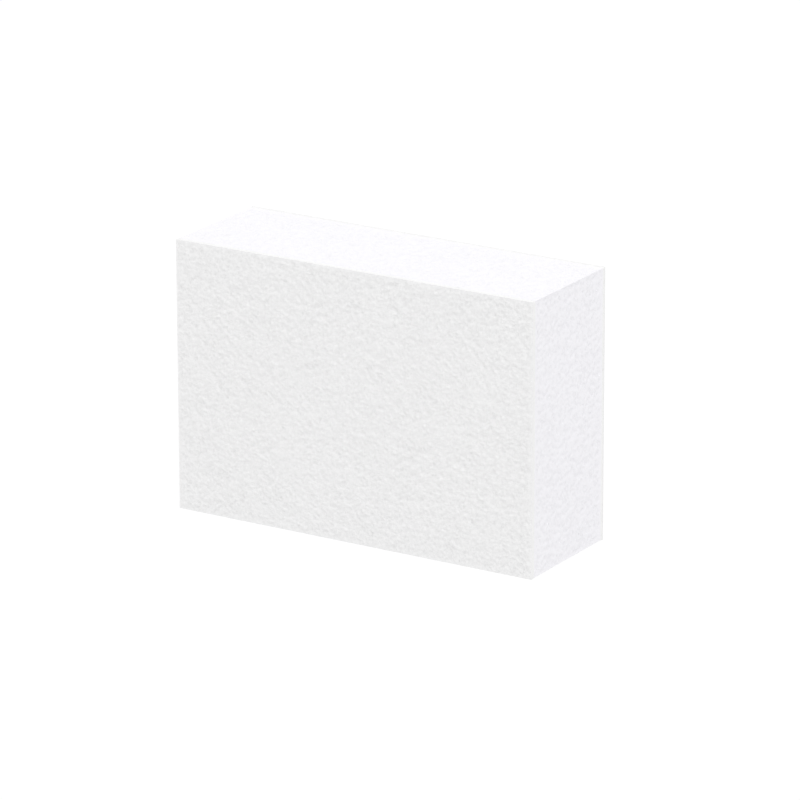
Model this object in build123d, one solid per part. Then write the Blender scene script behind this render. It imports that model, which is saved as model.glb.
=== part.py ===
"""Mini nail buffer block: a foam core with a coated-abrasive sheet glued to each of its two large faces.

Millimetres.  The block stands on one of its long narrow sides.  +X runs along the block, +Y through
its thickness, from the coarse front sheet to the fine back sheet, and +Z up its height.  The origin
is the centre of the face that it stands on.

Going from -Y to +Y the laminate is: abrasive coat, backing paper, adhesive film, foam core,
adhesive film, backing paper, abrasive coat.  The laminate is made in large boards and then cut to
size, so every layer ends flush with the others on the four cut sides.
"""
from build123d import *
import os

# Driving dimensions of the finished block
BLOCK_LENGTH = 35.0
BLOCK_THICKNESS = 12.0
BLOCK_HEIGHT = 24.0

# Coated abrasive, grain and resin together: 100 grit in front, 180 grit behind
FRONT_COAT = 0.25
BACK_COAT = 0.15

# Layers that the two sheets share
PAPER = 0.20
ADHESIVE = 0.10

# The foam fills what the two sheets leave of the thickness
FRONT_SHEET = FRONT_COAT + PAPER + ADHESIVE
BACK_SHEET = BACK_COAT + PAPER + ADHESIVE
FOAM = BLOCK_THICKNESS - FRONT_SHEET - BACK_SHEET

# Where the outer faces and the foam's two glued faces lie across the thickness
FRONT_FACE_Y = -BLOCK_THICKNESS / 2
FOAM_FRONT_Y = FRONT_FACE_Y + FRONT_SHEET
FOAM_BACK_Y = FOAM_FRONT_Y + FOAM
BACK_FACE_Y = BLOCK_THICKNESS / 2


def layer(name, start_y, thickness):
    """One layer with the block's full outline, from start_y towards +Y."""
    outline = (Align.CENTER, Align.MIN, Align.MIN)
    solid = Pos(0, start_y, 0) * Box(BLOCK_LENGTH, thickness, BLOCK_HEIGHT, align=outline)
    solid.label = name
    return solid


def foam_core():
    """The sponge body, cut flush on its top, its bottom and both ends."""
    return layer("foam_core", FOAM_FRONT_Y, FOAM)


def front_abrasive_coat():
    """Coarse grain in resin.  Its outer plane is at the tips of the grains."""
    return layer("front_abrasive_coat", FRONT_FACE_Y, FRONT_COAT)


def front_backing_paper():
    """The paper that carries the coarse coat."""
    return layer("front_backing_paper", FRONT_FACE_Y + FRONT_COAT, PAPER)


def front_adhesive_film():
    """The film that holds the coarse sheet's paper to the foam."""
    return layer("front_adhesive_film", FOAM_FRONT_Y - ADHESIVE, ADHESIVE)


def back_adhesive_film():
    """The film that holds the fine sheet's paper to the foam."""
    return layer("back_adhesive_film", FOAM_BACK_Y, ADHESIVE)


def back_backing_paper():
    """The paper that carries the fine coat."""
    return layer("back_backing_paper", BACK_FACE_Y - BACK_COAT - PAPER, PAPER)


def back_abrasive_coat():
    """Fine grain in resin.  Its outer plane is at the tips of the grains."""
    return layer("back_abrasive_coat", BACK_FACE_Y - BACK_COAT, BACK_COAT)


os.makedirs("parts", exist_ok=True)
for make_piece in (
    front_abrasive_coat,
    front_backing_paper,
    front_adhesive_film,
    foam_core,
    back_adhesive_film,
    back_backing_paper,
    back_abrasive_coat,
):
    piece = make_piece()
    export_step(piece, f"parts/{piece.label}.step")
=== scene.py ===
import math

import bpy
import numpy as np
from mathutils import Matrix, Vector


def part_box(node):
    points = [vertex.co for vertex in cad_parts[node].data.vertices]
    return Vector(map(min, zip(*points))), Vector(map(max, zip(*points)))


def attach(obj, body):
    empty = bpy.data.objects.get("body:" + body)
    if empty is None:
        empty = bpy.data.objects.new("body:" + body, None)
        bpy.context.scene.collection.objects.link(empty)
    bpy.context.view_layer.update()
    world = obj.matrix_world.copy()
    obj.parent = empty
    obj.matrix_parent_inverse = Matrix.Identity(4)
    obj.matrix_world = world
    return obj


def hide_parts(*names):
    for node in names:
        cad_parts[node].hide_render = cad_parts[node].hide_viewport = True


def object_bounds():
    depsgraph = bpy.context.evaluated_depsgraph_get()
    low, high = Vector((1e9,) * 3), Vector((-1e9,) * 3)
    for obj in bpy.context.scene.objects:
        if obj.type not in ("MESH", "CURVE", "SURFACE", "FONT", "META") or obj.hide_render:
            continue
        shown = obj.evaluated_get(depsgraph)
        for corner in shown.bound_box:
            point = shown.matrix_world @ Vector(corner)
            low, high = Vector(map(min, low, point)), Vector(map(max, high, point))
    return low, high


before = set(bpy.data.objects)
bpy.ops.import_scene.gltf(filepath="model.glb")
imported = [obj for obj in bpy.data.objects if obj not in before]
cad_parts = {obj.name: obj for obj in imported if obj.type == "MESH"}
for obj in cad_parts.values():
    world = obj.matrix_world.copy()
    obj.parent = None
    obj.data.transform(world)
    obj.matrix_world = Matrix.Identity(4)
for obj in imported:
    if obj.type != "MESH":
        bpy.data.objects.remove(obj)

MM = 0.001
CAD_LOW, CAD_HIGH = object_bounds()
CENTRE = (CAD_LOW + CAD_HIGH) / 2
BODY = "root"
WHITE = (1.0, 1.0, 1.0, 1.0)

# ---------------------------------------------------------------- camera, light and floor

VIEW_AZIMUTH = math.radians(31.87)
VIEW_ELEVATION = math.radians(17.99)
VIEW_ROLL = math.radians(-0.13)
VIEW_DISTANCE = 494.0 * MM
VIEW_PAN_RIGHT = 0.92 * MM
VIEW_PAN_UP = -0.90 * MM
LENS = 263.5
SENSOR = 36.0
CLIP_NEAR = 10 * MM
CLIP_FAR = 10.0

WORLD_STRENGTH = 1.0
FLOOR_SIZE = 3.0
FLOOR_GLOW = 0.9
FLOOR_SHADE = (0.1, 0.1, 0.1, 1.0)
SOFTBOX_SIZE = 1.0
SOFTBOX_PLACE = (0.25, -0.25, 0.85)
SOFTBOX_POWER = 2.62


def make_camera():
    """A long lens at the photograph's viewing angle, aimed a little beside the block's middle."""
    back = Vector((
        math.sin(VIEW_AZIMUTH) * math.cos(VIEW_ELEVATION),
        -math.cos(VIEW_AZIMUTH) * math.cos(VIEW_ELEVATION),
        math.sin(VIEW_ELEVATION),
    ))
    aim = (-back).to_track_quat("-Z", "Y").to_matrix() @ Matrix.Rotation(VIEW_ROLL, 3, "Z")
    pan = aim @ Vector((VIEW_PAN_RIGHT, VIEW_PAN_UP, 0))
    data = bpy.data.cameras.new("camera")
    data.lens = LENS
    data.sensor_width = SENSOR
    data.clip_start = CLIP_NEAR
    data.clip_end = CLIP_FAR
    camera = bpy.data.objects.new("camera", data)
    camera.matrix_world = Matrix.Translation(CENTRE + back * VIEW_DISTANCE + pan) @ aim.to_4x4()
    bpy.context.scene.collection.objects.link(camera)
    bpy.context.scene.camera = camera


def make_world():
    """Even white light from all round, as in a light tent."""
    world = bpy.data.worlds.new("light_tent")
    world.use_nodes = True
    background = world.node_tree.nodes["Background"]
    background.inputs["Color"].default_value = WHITE
    background.inputs["Strength"].default_value = WORLD_STRENGTH
    world.cycles.sampling_method = "NONE"
    bpy.context.scene.world = world
    bpy.context.scene.view_settings.view_transform = "Standard"


def make_softbox():
    """One soft square lamp high up towards the near corner, so the top is the brightest face."""
    data = bpy.data.lights.new("softbox", "AREA")
    data.shape = "SQUARE"
    data.size = SOFTBOX_SIZE
    data.energy = SOFTBOX_POWER
    softbox = bpy.data.objects.new("softbox", data)
    place = Vector(SOFTBOX_PLACE)
    aim = place.to_track_quat("Z", "Y").to_matrix().to_4x4()
    softbox.matrix_world = Matrix.Translation(CENTRE + place) @ aim
    bpy.context.scene.collection.objects.link(softbox)


def make_floor():
    """A plain white table that glows a little, so that it reads as pure white with no hard shadow."""
    half = FLOOR_SIZE / 2
    corners = [(-half, -half, 0), (half, -half, 0), (half, half, 0), (-half, half, 0)]
    mesh = bpy.data.meshes.new("floor")
    mesh.from_pydata(corners, [], [(0, 1, 2, 3)])
    floor = bpy.data.objects.new("floor", mesh)
    bpy.context.scene.collection.objects.link(floor)
    material = bpy.data.materials.new("floor_white")
    material.use_nodes = True
    shader = material.node_tree.nodes["Principled BSDF"]
    shader.inputs["Base Color"].default_value = FLOOR_SHADE
    shader.inputs["Roughness"].default_value = 1.0
    shader.inputs["Specular IOR Level"].default_value = 0.0
    shader.inputs["Emission Color"].default_value = WHITE
    shader.inputs["Emission Strength"].default_value = FLOOR_GLOW
    material.cycles.emission_sampling = "NONE"
    mesh.materials.append(material)


# ---------------------------------------------------------------- material helpers

BUMP = 0.03 * MM
PAPER_BUMP = 0.02 * MM
ADHESIVE_BUMP = 0.01 * MM
COARSE_COLOURS = ((0.78, 0.778, 0.78), (0.85, 0.848, 0.85))
FINE_COLOURS = ((0.77, 0.768, 0.77), (0.86, 0.858, 0.86))
FOAM_COLOURS = ((0.805, 0.798, 0.825), (0.833, 0.826, 0.853))
PAPER_COLOURS = ((0.80, 0.798, 0.795), (0.84, 0.838, 0.835))
ADHESIVE_COLOURS = ((0.80, 0.80, 0.797), (0.84, 0.84, 0.837))
# most of a noise texture's values lie between these two
NOISE_LOW = 0.3
NOISE_HIGH = 0.7


class Nodes:
    """Builds one procedural material, with patterns measured in millimetres on the block."""

    def __init__(self, name):
        self.material = bpy.data.materials.new(name)
        self.material.use_nodes = True
        self.tree = self.material.node_tree
        self.shader = self.tree.nodes["Principled BSDF"]
        place = self.tree.nodes.new("ShaderNodeTexCoord")
        scaled = self.tree.nodes.new("ShaderNodeVectorMath")
        scaled.operation = "SCALE"
        scaled.inputs["Scale"].default_value = 1 / MM
        self.link(place.outputs["Object"], scaled.inputs[0])
        self.millimetres = scaled.outputs[0]

    def link(self, output, target):
        self.tree.links.new(output, target)

    def noise(self, size, detail=2.0, roughness=0.5):
        """Soft cloudy noise whose features are about size millimetres across."""
        node = self.tree.nodes.new("ShaderNodeTexNoise")
        node.inputs["Scale"].default_value = 1 / size
        node.inputs["Detail"].default_value = detail
        node.inputs["Roughness"].default_value = roughness
        self.link(self.millimetres, node.inputs["Vector"])
        return node.outputs["Fac"]

    def cells(self, size, feature="F1", output="Distance"):
        """Voronoi cells about size millimetres across."""
        node = self.tree.nodes.new("ShaderNodeTexVoronoi")
        node.feature = feature
        node.inputs["Scale"].default_value = 1 / size
        self.link(self.millimetres, node.inputs["Vector"])
        return node.outputs[output]

    def attribute(self, name):
        """A value that the mesh carries at its vertices."""
        node = self.tree.nodes.new("ShaderNodeAttribute")
        node.attribute_name = name
        return node.outputs["Fac"]

    def between(self, value, low, high, to_low, to_high):
        """Maps value's range low..high to to_low..to_high, held at the ends."""
        node = self.tree.nodes.new("ShaderNodeMapRange")
        node.inputs["From Min"].default_value = low
        node.inputs["From Max"].default_value = high
        node.inputs["To Min"].default_value = to_low
        node.inputs["To Max"].default_value = to_high
        self.link(value, node.inputs["Value"])
        return node.outputs["Result"]

    def maths(self, operation, a, b):
        """a and b combined; each is a socket or a number."""
        node = self.tree.nodes.new("ShaderNodeMath")
        node.operation = operation
        for socket, value in zip(node.inputs, (a, b)):
            if isinstance(value, (int, float)):
                socket.default_value = value
            else:
                self.link(value, socket)
        return node.outputs["Value"]

    def blend(self, share, colours):
        """The first of two colours at share 0 and the second at share 1."""
        node = self.tree.nodes.new("ShaderNodeMix")
        node.data_type = "RGBA"
        self.link(share, node.inputs["Factor"])
        for name, colour in zip("AB", colours):
            socket = next(s for s in node.inputs if s.name == name and s.type == "RGBA")
            socket.default_value = (*colour, 1.0)
        return next(s for s in node.outputs if s.type == "RGBA")

    def relief(self, height, depth):
        """Bump from a height of 0..1 that stands for depth metres."""
        node = self.tree.nodes.new("ShaderNodeBump")
        node.inputs["Strength"].default_value = 1.0
        node.inputs["Distance"].default_value = depth
        self.link(height, node.inputs["Height"])
        self.link(node.outputs["Normal"], self.shader.inputs["Normal"])

    def finish(self, colour, roughness, specular):
        """Sets the shader's colour and roughness from sockets and its specular level as a number."""
        self.link(colour, self.shader.inputs["Base Color"])
        self.link(roughness, self.shader.inputs["Roughness"])
        self.shader.inputs["Specular IOR Level"].default_value = specular
        return self.material


def abrasive_material(name, grain, colours):
    """Pale grain in resin, with painted shade: greyer down in the valleys between the grains and whiter
    on their tops.

    The grain's size is in millimetres, as are all the sizes that the patterns take.
    """
    made = Nodes(name)
    # painted shade: the colour turns greyer where the coat lies low between grains and whiter on the
    # grains' tops
    painted_height_shade = made.between(made.attribute("height"), 0.0, 1.0, -0.15, 0.15)
    patches = made.between(made.noise(4.0, detail=3.0), NOISE_LOW, NOISE_HIGH, -0.04, 0.04)
    each_crystal = made.between(made.cells(grain * 0.55, output="Color"), 0.0, 1.0, 0.1, 0.9)
    share = made.maths("ADD", made.maths("ADD", painted_height_shade, patches), each_crystal)
    colour = made.blend(made.between(share, 0.0, 1.0, 0.0, 1.0), colours)
    roughness = made.between(made.noise(grain), NOISE_LOW, NOISE_HIGH, 0.72, 0.95)
    facets = made.cells(grain * 0.45)
    dust = made.maths("MULTIPLY", made.noise(grain * 0.3), 0.5)
    made.relief(made.maths("ADD", facets, dust), BUMP)
    return made.finish(colour, roughness, specular=0.35)


def foam_material():
    """Cool white sponge, with painted shade that makes it greyer down in its cut cells."""
    made = Nodes("foam")
    # painted shade: the colour turns greyer the deeper the surface lies in a cut cell
    painted_pit_shade = made.attribute("height")
    clouds = made.between(made.noise(6.0, detail=3.0), NOISE_LOW, NOISE_HIGH, -0.1, 0.1)
    share = made.maths("ADD", painted_pit_shade, clouds)
    colour = made.blend(made.between(share, 0.0, 1.0, 0.0, 1.0), FOAM_COLOURS)
    roughness = made.between(made.noise(0.3), NOISE_LOW, NOISE_HIGH, 0.88, 1.0)
    walls = made.cells(0.16, feature="SMOOTH_F1")
    made.relief(walls, BUMP)
    return made.finish(colour, roughness, specular=0.2)


def paper_material():
    """The cut edge of white kraft paper, with short fibres along it."""
    made = Nodes("backing_paper")
    fibres = made.noise(0.12, detail=4.0, roughness=0.65)
    colour = made.blend(made.between(fibres, NOISE_LOW, NOISE_HIGH, 0.0, 1.0), PAPER_COLOURS)
    roughness = made.between(made.noise(0.5), NOISE_LOW, NOISE_HIGH, 0.8, 0.95)
    made.relief(fibres, PAPER_BUMP)
    return made.finish(colour, roughness, specular=0.3)


def adhesive_material():
    """Clear acrylic film, milky where it has soaked into the foam."""
    made = Nodes("adhesive")
    soaked = made.noise(0.4, detail=3.0)
    colour = made.blend(made.between(soaked, 0.35, 0.65, 0.0, 1.0), ADHESIVE_COLOURS)
    roughness = made.between(soaked, NOISE_LOW, NOISE_HIGH, 0.35, 0.55)
    made.relief(made.noise(0.2), ADHESIVE_BUMP)
    return made.finish(colour, roughness, specular=0.5)


# ---------------------------------------------------------------- surface patterns

# two lattices turned apart from each other and from the block's edges
RIDGE_TURNS = (math.radians(27), math.radians(-38))
# how far the noise sways from a ridge's crest to the valley floor
RIDGE_SWAY = 1.3
# a grain's shape, in spacings of the lattice it sits in
GRAIN_SIDES = 4
GRAIN_MIDDLES = (0.1, 0.9)
GRAIN_TILT = 0.6
GRAIN_WIDTHS = (0.32, 0.55)
GRAIN_TOPS = (0.45, 1.0)
GRAIN_FLANK = 2.2
GRAIN_HEIGHT = 1.2
GRAIN_SHOULDER = 0.6
# less than any distance out from a grain's middle
FAR_INSIDE = -9.0
# the smallest bubble before the spread, as a share of the largest; a larger spread makes more small ones
SMALLEST_BUBBLE = 0.35
BUBBLE_SPREAD = 1.5


def smooth_noise(rng, points, size):
    """Random values from -1 to 1 that vary smoothly over about size, at the points."""
    grid = (points - points.min(0)) / size
    first = np.floor(grid).astype(int)
    share = grid - first
    share = share * share * (3 - 2 * share)
    values = rng.uniform(-1, 1, first.max(0) + 2)
    total = np.zeros(len(points))
    for corner in np.ndindex(2, 2, 2):
        weight = np.where(corner, share, 1 - share).prod(1)
        total += weight * values[tuple((first + corner).T)]
    return total


def ridges(rng, across, along, size):
    """Height from 0 to 1 of ridges that wander about, roughly size apart, and follow no grid."""
    sway = np.zeros_like(across)
    for turn in RIDGE_TURNS:
        u = across * math.cos(turn) + along * math.sin(turn)
        v = along * math.cos(turn) - across * math.sin(turn)
        sway = sway + smooth_noise(rng, np.stack([u, np.zeros_like(u), v], -1), size)
    return np.clip(1 - np.abs(sway) / RIDGE_SWAY, 0, 1)


def crystals(rng, across, along, spacing):
    """Height from 0 to 1 of packed angular grains, each a flat-topped crystal with tilted facets."""
    u = across / spacing
    v = along / spacing
    first_u, first_v = int(np.floor(u.min())) - 1, int(np.floor(v.min())) - 1
    count = (int(np.floor(u.max())) - first_u + 2, int(np.floor(v.max())) - first_v + 2)
    middle_u = rng.uniform(*GRAIN_MIDDLES, count)
    middle_v = rng.uniform(*GRAIN_MIDDLES, count)
    top = rng.uniform(*GRAIN_TOPS, count)
    tilt_u = rng.normal(0, GRAIN_TILT, count)
    tilt_v = rng.normal(0, GRAIN_TILT, count)
    width = rng.uniform(*GRAIN_WIDTHS, count)
    turn = rng.uniform(0, math.tau, count)
    i = np.floor(u).astype(int) - first_u
    j = np.floor(v).astype(int) - first_v
    height = np.zeros_like(u)
    for di in (-1, 0, 1):
        for dj in (-1, 0, 1):
            cell = (i + di, j + dj)
            du = u - (first_u + cell[0] + middle_u[cell])
            dv = v - (first_v + cell[1] + middle_v[cell])
            out = np.full_like(u, FAR_INSIDE)
            for k in range(GRAIN_SIDES):
                angle = turn[cell] + math.tau * k / GRAIN_SIDES
                out = np.maximum(out, du * np.cos(angle) + dv * np.sin(angle))
            flat = top[cell] + tilt_u[cell] * du + tilt_v[cell] * dv
            flank = top[cell] - GRAIN_FLANK * (out - width[cell] * GRAIN_SHOULDER)
            height = np.maximum(height, np.minimum(flat, flank))
    return np.clip(height, 0, GRAIN_HEIGHT) / GRAIN_HEIGHT


def cut_bubbles(rng, points, inward, spacing, radius):
    """How deep a straight cut through a foam of round bubbles opens at each point."""
    grid = np.floor(points / spacing).astype(int)
    low = grid.min(0) - 1
    count = grid.max(0) - low + 2
    middles = rng.uniform(0, 1, (*count, 3))
    sizes = radius * rng.uniform(SMALLEST_BUBBLE, 1.0, tuple(count)) ** BUBBLE_SPREAD
    depth = np.zeros(len(points))
    for di in (-1, 0, 1):
        for dj in (-1, 0, 1):
            for dk in (-1, 0, 1):
                cell = tuple((grid - low + (di, dj, dk)).T)
                middle = (grid + (di, dj, dk) + middles[cell]) * spacing
                to_middle = middle - points
                below = (to_middle * inward).sum(1)
                beside = (to_middle**2).sum(1) - below**2
                half_chord = np.sqrt(np.maximum(sizes[cell] ** 2 - beside, 0))
                open_here = (beside < sizes[cell] ** 2) & (below < half_chord)
                depth = np.maximum(depth, np.where(open_here, below + half_chord, 0))
    return depth


# ---------------------------------------------------------------- mesh helpers

SHARP = math.radians(50)
CORNER_TURNS = 2


def new_piece(name, points, faces, height, material, node):
    """A smooth-shaded piece that stands for one CAD node, with its height kept for the material."""
    mesh = bpy.data.meshes.new(name)
    mesh.from_pydata([tuple(p) for p in points], [], faces)
    mesh.polygons.foreach_set("use_smooth", [len(f) == 4 for f in faces])
    mesh.attributes.new("height", "FLOAT", "POINT").data.foreach_set("value", height.astype(np.float32))
    mesh.materials.append(material)
    mesh.validate()
    mesh.set_sharp_from_angle(angle=SHARP)
    piece = bpy.data.objects.new(name, mesh)
    bpy.context.scene.collection.objects.link(piece)
    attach(piece, BODY)
    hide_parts(node)
    return piece


def sleeve_faces(rings, count):
    """Quads between neighbouring rings of count points each, and a flat face over each end."""
    faces = []
    for r in range(rings - 1):
        base = r * count
        for k in range(count):
            after = (k + 1) % count
            faces.append((base + count + k, base + count + after, base + after, base + k))
    faces.append(tuple(range(count)))
    faces.append(tuple(range(rings * count - 1, (rings - 1) * count - 1, -1)))
    return faces


def outline(low, high, corner, step, bottom_step):
    """Points and outward directions round a rectangle in X and Z with slightly rounded corners.

    The points are step apart, or bottom_step along the face that the block stands on.
    """
    places, outward = [], []
    middles = [
        (high.x - corner, low.z + corner, -90),
        (high.x - corner, high.z - corner, 0),
        (low.x + corner, high.z - corner, 90),
        (low.x + corner, low.z + corner, 180),
    ]
    for k, (x, z, start) in enumerate(middles):
        for turn in range(CORNER_TURNS + 1):
            angle = math.radians(start + 90 * turn / CORNER_TURNS)
            places.append((x + corner * math.cos(angle), z + corner * math.sin(angle)))
            outward.append((math.cos(angle), math.sin(angle)))
        next_x, next_z, _ = middles[(k + 1) % len(middles)]
        edge = math.hypot(next_x - x, next_z - z)
        ahead = ((next_x - x) / edge, (next_z - z) / edge)
        here, way = places[-1], outward[-1]
        at_bottom = k == len(middles) - 1
        steps = round(edge / (bottom_step if at_bottom else step))
        for s in range(1, steps):
            along = edge * s / steps
            places.append((here[0] + ahead[0] * along, here[1] + ahead[1] * along))
            outward.append(way)
    return np.array(places), np.array(outward)


# ---------------------------------------------------------------- the pieces

COAT_CELL = 0.095 * MM
# in millimetres, as the materials' patterns take them
COARSE_GRAIN = 0.32
FINE_GRAIN = 0.22
FINE_RELIEF_GRAIN = 0.24
# shares of a large grain's size and height
SMALL_GRAIN = 0.6
SMALL_GRAIN_HEIGHT = 0.8
# in grain sizes
RIDGE_SPACING = 1.12
EDGE_WEAR = 0.35 * MM
MOST_WEAR = 0.8
# as a share of the coat's thickness
DEEPEST_VALLEY = 0.9
LAYER_CORNER = 0.05 * MM
LAYER_STEP = 0.15 * MM
LAYER_ROWS = 3
PAPER_RAGGED = 0.02 * MM
FILM_RAGGED = 0.03 * MM
FOAM_CORNER = 0.05 * MM
FOAM_STEP = 0.107 * MM
FOAM_BOTTOM_STEP = 3 * FOAM_STEP
BUBBLE_SPACING = 0.23 * MM
BUBBLE_RADIUS = 0.17 * MM
FOAM_PIT = 0.11 * MM
FOAM_WAVE = 0.07 * MM
FOAM_WAVE_SIZE = 0.30 * MM
# beside a sheet the foam's texture has this share of its depth, and all of it this far away
GLUE_HOLD = 0.15
GLUE_REACH = 0.4 * MM


def make_abrasive_coat(node, outward, grain, relief, swell, material, seed):
    """Grain in resin: a dense relief over the coat's outer face, cut off square round its edges.

    Relief is how far the grains stand up, and swell how far the resin dries into ridges between them.
    """
    low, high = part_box(node)
    rng = np.random.default_rng(seed)
    outer, inner = (low.y, high.y) if outward < 0 else (high.y, low.y)
    across = round((high.x - low.x) / COAT_CELL)
    up = round((high.z - low.z) / COAT_CELL)
    columns = np.linspace(low.x, high.x, across + 1)
    rows = np.linspace(low.z, high.z, up + 1)
    x, z = np.meshgrid(columns, rows, indexing="ij")
    x, z = x.ravel(), z.ravel()
    large = crystals(rng, x, z, grain)
    small = SMALL_GRAIN_HEIGHT * crystals(rng, x, z, SMALL_GRAIN * grain)
    grit = np.maximum(large, small)
    edge = np.minimum.reduce([x - low.x, high.x - x, z - low.z, high.z - z])
    worn = MOST_WEAR * np.clip(1 - edge / EDGE_WEAR, 0, 1)
    sunk = relief * (1 - grit) + swell * (1 - ridges(rng, x, z, RIDGE_SPACING * grain))
    sunk = sunk * (1 - worn) + 0.5 * (relief + swell) * worn
    sunk = np.minimum(sunk, DEEPEST_VALLEY * abs(outer - inner))
    points = np.stack([x, outer - outward * sunk, z], -1)
    number = np.arange(len(points)).reshape(across + 1, up + 1)
    corners = (number[:-1, :-1], number[1:, :-1], number[1:, 1:], number[:-1, 1:])
    faces = np.stack([c.ravel() for c in corners], -1).tolist()
    sides = (number[:, 0], number[-1, 1:], number[-2::-1, -1], number[0, -2:0:-1])
    border = np.concatenate(sides).tolist()
    base = points[border]
    base[:, 1] = inner
    first = len(points)
    points = np.concatenate([points, base])
    count = len(border)
    for k in range(count):
        after = (k + 1) % count
        faces.append((border[k], first + k, first + after, border[after]))
    faces.append(tuple(range(first + count - 1, first - 1, -1)))
    if outward > 0:
        faces = [f[::-1] for f in faces]
    heights = np.concatenate([1 - sunk / (relief + swell), np.zeros(count)])
    return new_piece(node.replace("coat", "grain"), points, faces, heights, material, node)


def make_cut_layer(node, ragged, material, seed):
    """A thin paper or film whose cut edge wanders in and out by as much as ragged."""
    low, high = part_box(node)
    rng = np.random.default_rng(seed)
    places, outward = outline(low, high, LAYER_CORNER, LAYER_STEP, LAYER_STEP)
    count = len(places)
    rings, heights = [], []
    for r in range(LAYER_ROWS):
        inset = ragged * rng.uniform(0.0, 1.0, count)
        smooth = (inset + np.roll(inset, 1) + np.roll(inset, -1)) / 3
        at = places - outward * smooth[:, None]
        y = np.full(count, low.y + (high.y - low.y) * r / (LAYER_ROWS - 1))
        rings.append(np.stack([at[:, 0], y, at[:, 1]], -1))
        heights.append(1 - smooth / ragged)
    points = np.concatenate(rings)
    faces = sleeve_faces(LAYER_ROWS, count)
    return new_piece(node + "_cut", points, faces, np.concatenate(heights), material, node)


def make_foam(node, material, seed):
    """The sponge: its four cut sides are opened by the bubbles that the blade went through.

    It is held flatter beside the glued sheets. Near the four edges that run from sheet to sheet the
    pits are shallower, so that those of two sides never meet.
    """
    low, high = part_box(node)
    rng = np.random.default_rng(seed)
    places, outward = outline(low, high, FOAM_CORNER, FOAM_STEP, FOAM_BOTTOM_STEP)
    count = len(places)
    rows = round((high.y - low.y) / FOAM_STEP) + 1
    y = np.repeat(np.linspace(low.y, high.y, rows), count)
    x, z = np.tile(places, (rows, 1)).T
    points = np.stack([x, y, z], -1)
    out_x, out_z = np.tile(outward, (rows, 1)).T
    inward = -np.stack([out_x, np.zeros(rows * count), out_z], -1)
    pits = np.minimum(cut_bubbles(rng, points, inward, BUBBLE_SPACING, BUBBLE_RADIUS), FOAM_PIT)
    waves = 0.5 - 0.5 * smooth_noise(rng, points, FOAM_WAVE_SIZE)
    from_sheet = np.minimum(y - low.y, high.y - y)
    held = GLUE_HOLD + (1 - GLUE_HOLD) * np.clip(from_sheet / GLUE_REACH, 0, 1)
    from_edge = np.sort([x - low.x, high.x - x, z - low.z, high.z - z], axis=0)[1]
    room = 0.4 * FOAM_CORNER + 0.6 * from_edge
    depth = np.minimum((pits + FOAM_WAVE * waves) * held, room).reshape(rows, count)
    depth = (4 * depth + np.roll(depth, 1, 1) + np.roll(depth, -1, 1)) / 6
    middle = (4 * depth[1:-1] + depth[2:] + depth[:-2]) / 6
    depth = np.concatenate([depth[:1], middle, depth[-1:]]).ravel()
    points = points + inward * depth[:, None]
    heights = 1 - depth / (FOAM_PIT + FOAM_WAVE)
    faces = sleeve_faces(rows, count)
    return new_piece("foam_sponge", points, faces, heights, material, node)


def make_block():
    """The seven layers, from the two abrasive faces in to the foam."""
    coarse = abrasive_material("coarse_abrasive", COARSE_GRAIN, COARSE_COLOURS)
    fine = abrasive_material("fine_abrasive", FINE_GRAIN, FINE_COLOURS)
    make_abrasive_coat(
        "front_abrasive_coat",
        outward=-1,
        grain=COARSE_GRAIN * MM,
        relief=0.12 * MM,
        swell=0.11 * MM,
        material=coarse,
        seed=11,
    )
    make_abrasive_coat(
        "back_abrasive_coat",
        outward=1,
        grain=FINE_RELIEF_GRAIN * MM,
        relief=0.06 * MM,
        swell=0.08 * MM,
        material=fine,
        seed=12,
    )
    paper = paper_material()
    adhesive = adhesive_material()
    for seed, side in ((21, "front"), (31, "back")):
        make_cut_layer(side + "_backing_paper", PAPER_RAGGED, paper, seed)
        make_cut_layer(side + "_adhesive_film", FILM_RAGGED, adhesive, seed + 1)
    foam = make_foam("foam_core", foam_material(), seed=41)


make_camera()
make_world()
make_softbox()
make_floor()
make_block()
